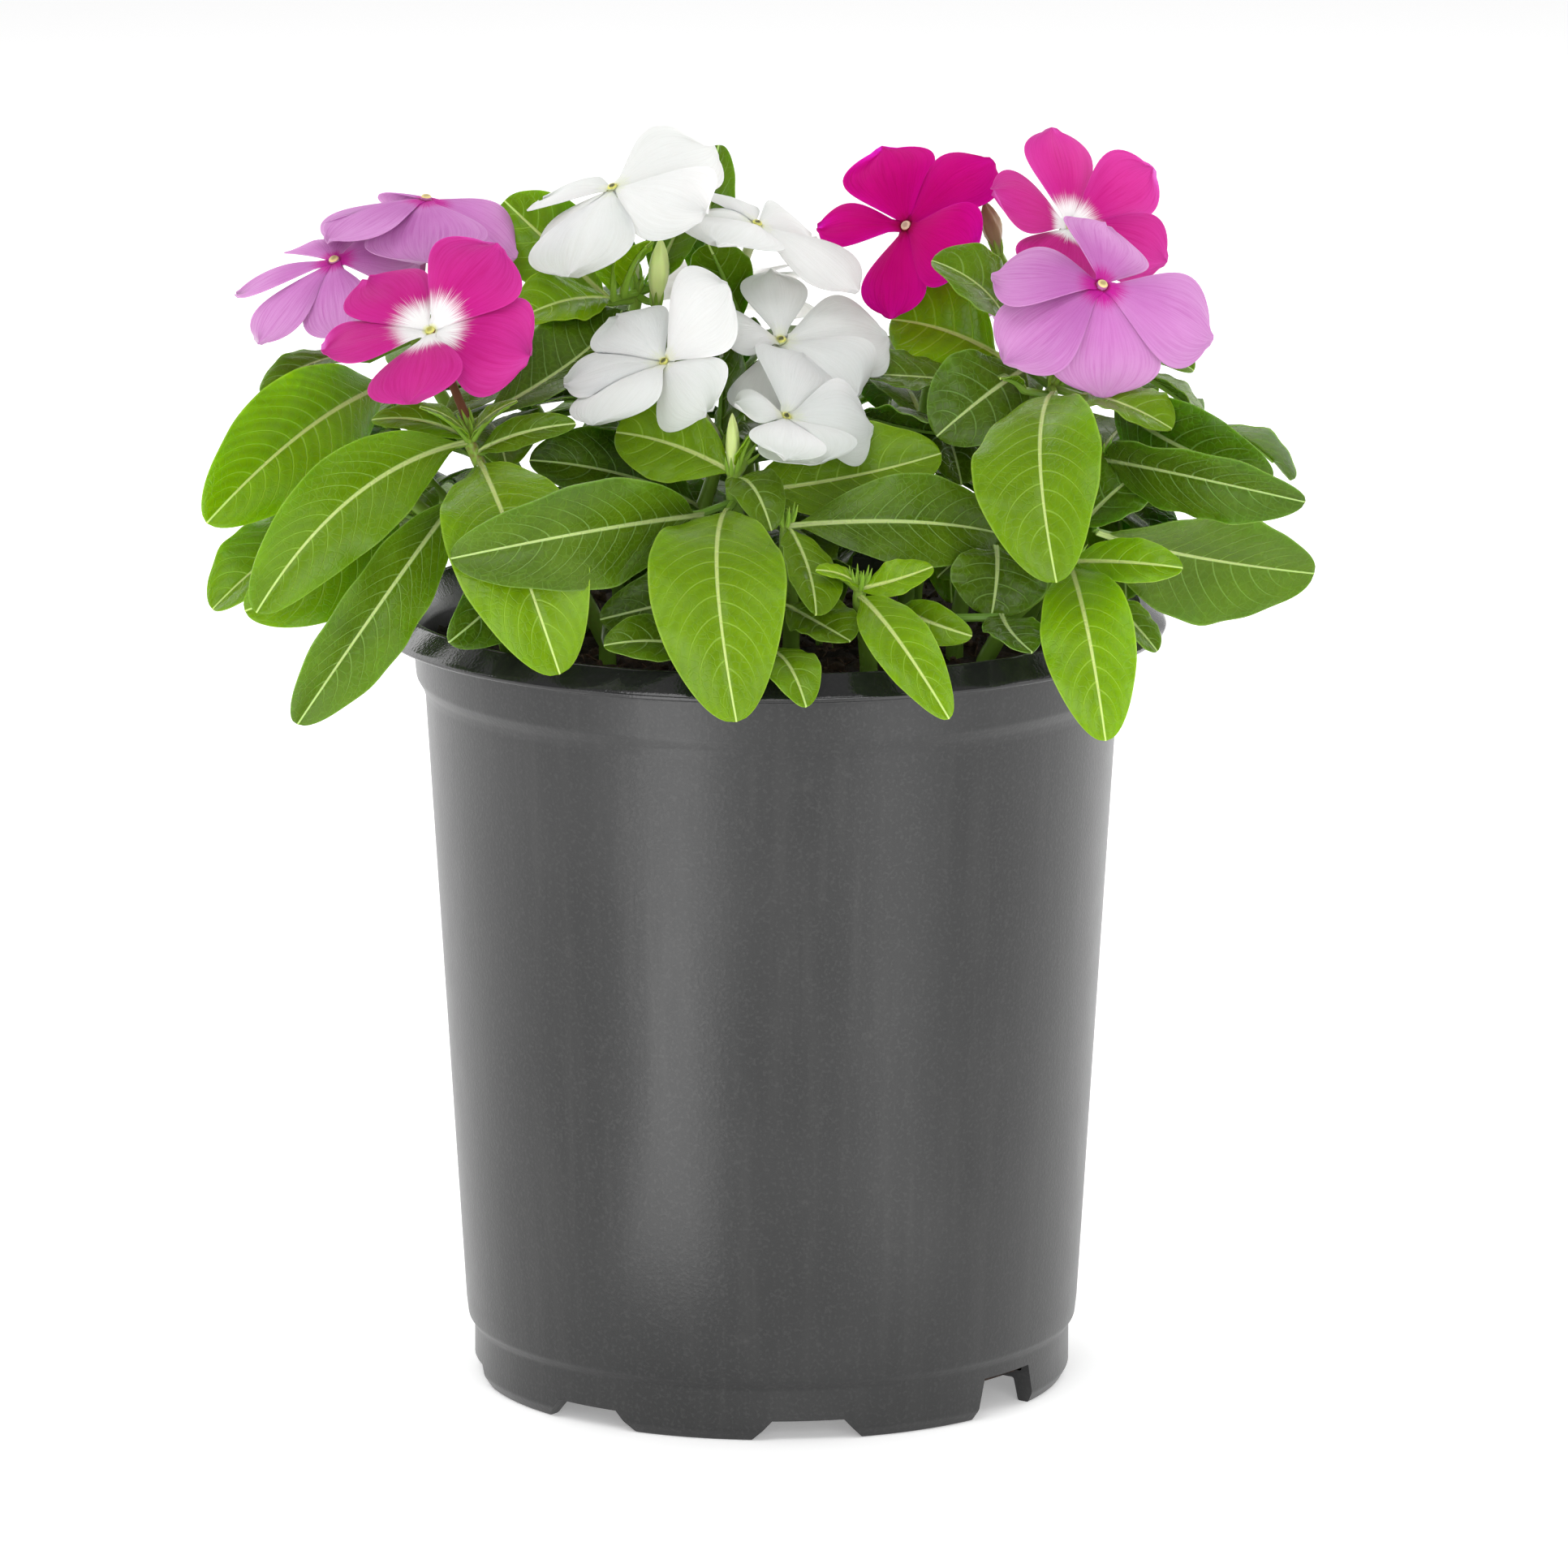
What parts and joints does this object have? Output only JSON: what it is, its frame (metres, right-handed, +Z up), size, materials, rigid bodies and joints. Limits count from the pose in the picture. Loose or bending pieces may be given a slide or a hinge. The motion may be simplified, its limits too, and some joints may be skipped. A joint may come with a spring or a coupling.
{
  "type": "potted madagascar periwinkle",
  "caption": "Bushy Madagascar periwinkle with white, magenta, crimson and lilac blooms over glossy leaves, in a round black nursery pot.",
  "frame": {"origin": "the pot's axis at the plane that its foot ring rests on, which is also the bottom centre of the bounding box", "axes": "+Z up the pot's axis, -Y towards the front that the picture shows, +X to its right"},
  "size_m": [0.2292, 0.1799, 0.2626],
  "materials": {
    "pot": "satin black blow-moulded plastic",
    "soil": "crumbly peat potting mix",
    "leaf": "glossy living leaf and stem",
    "lilac": "soft lilac petal",
    "magenta": "soft magenta petal with a white eye",
    "crimson": "soft crimson petal",
    "white": "soft white petal"
  },
  "bodies": {
    "root": {"bloom_crimson": "crimson", "bloom_lilac_back": "lilac", "bloom_lilac_left": "lilac", "bloom_lilac_rear": "lilac", "bloom_lilac_right": "lilac", "bloom_magenta_left": "magenta", "bloom_magenta_right": "magenta", "bloom_white_back": "white", "bloom_white_front": "white", "bloom_white_middle": "white", "bloom_white_rear": "white", "bloom_white_top": "white", "bloom_white_upper": "white", "pot": "pot", "soil": "soil", "stem_back_left": "leaf", "stem_back_middle": "leaf", "stem_back_right": "leaf", "stem_far_right": "leaf", "stem_front_left": "leaf", "stem_front_middle": "leaf", "stem_front_right": "leaf", "stem_left": "leaf", "stem_low_middle": "leaf", "stem_low_right": "leaf", "stem_middle_left": "leaf", "stem_middle_right": "leaf", "stem_rear_left": "leaf", "stem_rear_middle": "leaf", "stem_rear_right": "leaf", "stem_right": "leaf", "stem_side_left": "leaf", "stem_side_rear": "leaf", "stem_side_right": "leaf", "stem_top": "leaf"}
  },
  "joints": []
}
